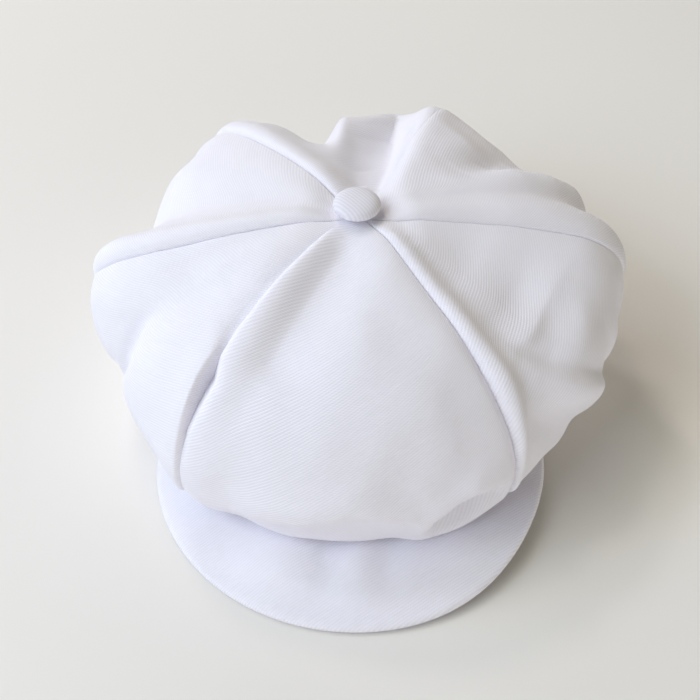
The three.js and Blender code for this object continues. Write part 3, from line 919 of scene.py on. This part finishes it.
# Button
def make_button():
    """Cloth drawn over a low dome, gathered under its rim."""
    turn = np.linspace(0, 2 * math.pi, BUTTON_SIDES, endpoint=False)[None, :]
    climb = np.linspace(0, 1, BUTTON_ROWS)[:-1, None]
    angle = climb * math.pi / 2
    radius = BUTTON_RADIUS * np.cos(angle) ** BUTTON_ROUND
    height = BUTTON_RIM + (BUTTON_DOME - BUTTON_RIM) * np.sin(angle) ** BUTTON_CREST
    under = np.linspace(BUTTON_BACK, 1, BUTTON_BACK_ROWS)[:-1, None]
    radius = np.concatenate([BUTTON_RADIUS * under, radius])
    height = np.concatenate([BUTTON_RIM * under**BUTTON_BACK_POWER, height])
    fade = np.concatenate([under**2, np.exp(-climb * PLEAT_FADE)])
    radius = radius + PLEAT_HEIGHT * np.sin(PLEATS * turn) * fade
    base = CROWN_TOP + BAND_CLEAR
    level = height + base
    ring = np.stack(np.broadcast_arrays(radius * np.sin(turn), -radius * np.cos(turn), level), axis=-1)
    rows, columns = ring.shape[:2]
    number = np.arange(rows * columns).reshape(rows, columns)
    following = np.roll(number, -1, axis=1)
    quads = np.stack([number[:-1], following[:-1], following[1:], number[1:]], axis=-1)
    faces = quads.reshape(-1, 4).tolist()
    top = rows * columns
    points = np.concatenate([ring.reshape(-1, 3), [[0, 0, base + BUTTON_DOME], [0, 0, base]]])
    faces += [[int(a), int(b), top] for a, b in zip(number[-1], following[-1])]
    faces += [[int(b), int(a), top + 1] for a, b in zip(number[0], following[0])]
    material = twill_material("twill_button", BUTTON_TWILL, BUTTON_WEAVE)
    make_piece("button_cloth", points, faces, points[:, :2] * MM, material, ["button"])


for gore_index in range(len(SEAMS)):
    make_gore(gore_index)
make_headband()
make_peak()
make_button()

# Camera: where it looks, from how high and from how far, and its focal length in pixels of a 700 pixel frame
CAMERA_TARGET = (-2.6, 0.0, 20.0)
CAMERA_ELEVATION = 47.0
CAMERA_DISTANCE = 620.0
FOCAL_PIXELS = 1500.0
FRAME_PIXELS = 700.0
SENSOR_WIDTH = 36.0

# Lamps, in degrees, metres and watts: cool windows on the left, two small warm lamps at the back left, the
# room's own light, and yellow light off a wall at the upper left and at the back right
Lamp = namedtuple("Lamp", "name azimuth elevation width height power colour")
LAMP_DISTANCE = 2.0
LAMP_TARGET = (0.0, 0.0, 40.0)   # in the cap's own millimetres
SKY_LIGHT = (0.4, 0.6, 1.0)
WINDOW_LIGHT = (0.78, 0.87, 1.0)
BULB_LIGHT = (1.0, 0.89, 0.85)
ROOM_LIGHT = (1.0, 0.97, 0.91)
WALL_LIGHT = (1.0, 0.87, 0.35)
LAMPS = [
    Lamp("window_back", 240, 50, 0.5, 0.5, 3.5, SKY_LIGHT),
    Lamp("window_side", 265, 40, 1.4, 1.2, 12.5, WINDOW_LIGHT),
    Lamp("window_front", 300, 40, 1.4, 1.2, 19.5, WINDOW_LIGHT),
    Lamp("window_high", 270, 65, 1.2, 1.2, 4.0, WALL_LIGHT),
    Lamp("lamp_low", 206, 48, 0.22, 0.22, 4.5, BULB_LIGHT),
    Lamp("lamp_high", 222, 62, 0.3, 0.3, 4.2, BULB_LIGHT),
    Lamp("room_right", 30, 12, 1.6, 0.7, 8.0, ROOM_LIGHT),
    Lamp("room_side", 75, 12, 1.6, 0.7, 4.5, ROOM_LIGHT),
    Lamp("room_front", 345, 20, 2.0, 0.9, 4.5, ROOM_LIGHT),
    Lamp("room_back", 190, 25, 1.6, 0.9, 8.0, ROOM_LIGHT),
    Lamp("room_far", 130, 30, 1.4, 0.9, 2.5, WALL_LIGHT),
]
WORLD_LIGHT = (1.0, 0.9, 0.8, 1.0)
WORLD_STRENGTH = 0.02

# Table: half its width, how far it lies under the cap, in metres, and the two tones that run into each other
FLOOR_HALF = 3.0
FLOOR_DROP = 0.1 * MM
FLOOR_DARK = srgb(237, 234, 229)
FLOOR_LIGHT = srgb(240, 237, 232)
FLOOR_SURFACE = {"Roughness": 0.7, "Specular IOR Level": 0.2}
FLOOR_GRAIN = {"Scale": 5.0}


def placed(x, y, z):
    """Point of the cap's own millimetres in the shared frame."""
    return Vector((x * MM + MIDDLE.x, y * MM + MIDDLE.y, z * MM))


def aim(thing, target):
    thing.rotation_mode = "QUATERNION"
    thing.rotation_quaternion = (target - thing.location).to_track_quat("-Z", "Y")


def make_camera():
    data = bpy.data.cameras.new("camera")
    data.sensor_width = SENSOR_WIDTH
    data.lens = SENSOR_WIDTH * FOCAL_PIXELS / FRAME_PIXELS
    camera = bpy.data.objects.new("camera", data)
    bpy.context.scene.collection.objects.link(camera)
    target = placed(*CAMERA_TARGET)
    tilt = math.radians(CAMERA_ELEVATION)
    camera.location = target + CAMERA_DISTANCE * MM * Vector((0, -math.cos(tilt), math.sin(tilt)))
    aim(camera, target)
    bpy.context.scene.camera = camera


def make_area_light(row):
    """Lamp that shines on the cap, with its width lying level."""
    data = bpy.data.lights.new(row.name, "AREA")
    data.shape = "RECTANGLE"
    data.size = row.width
    data.size_y = row.height
    data.energy = row.power
    data.color = row.colour
    lamp = bpy.data.objects.new(row.name, data)
    bpy.context.scene.collection.objects.link(lamp)
    target = placed(*LAMP_TARGET)
    level = LAMP_DISTANCE * math.cos(math.radians(row.elevation))
    way = around(row.azimuth, level, LAMP_DISTANCE * math.sin(math.radians(row.elevation)))
    lamp.location = target + Vector(way.tolist())
    aim(lamp, target)


def make_floor():
    mesh = bpy.data.meshes.new("floor")
    signs = [(-1, -1), (1, -1), (1, 1), (-1, 1)]
    mesh.from_pydata([(x * FLOOR_HALF, y * FLOOR_HALF, -FLOOR_DROP) for x, y in signs], [], [(0, 1, 2, 3)])
    material = bpy.data.materials.new("floor")
    material.use_nodes = True
    tree = material.node_tree
    shader = tree.nodes["Principled BSDF"]
    set_inputs(shader, FLOOR_SURFACE)
    place = add_node(tree, "ShaderNodeTexCoord")
    grain = add_node(tree, "ShaderNodeTexNoise")
    set_inputs(grain, FLOOR_GRAIN)
    tree.links.new(place.outputs["Object"], grain.inputs["Vector"])
    ramp = add_node(tree, "ShaderNodeValToRGB")
    ramp.color_ramp.elements[0].color = FLOOR_DARK
    ramp.color_ramp.elements[1].color = FLOOR_LIGHT
    tree.links.new(grain.outputs["Fac"], ramp.inputs["Fac"])
    tree.links.new(ramp.outputs["Color"], shader.inputs["Base Color"])
    mesh.materials.append(material)
    floor = bpy.data.objects.new("floor", mesh)
    bpy.context.scene.collection.objects.link(floor)


def make_world():
    world = bpy.data.worlds.new("room")
    bpy.context.scene.world = world
    world.use_nodes = True
    background = world.node_tree.nodes["Background"]
    background.inputs["Color"].default_value = WORLD_LIGHT
    background.inputs["Strength"].default_value = WORLD_STRENGTH


make_camera()
make_floor()
make_world()
for lamp_row in LAMPS:
    make_area_light(lamp_row)
bpy.context.scene.view_settings.view_transform = "Standard"
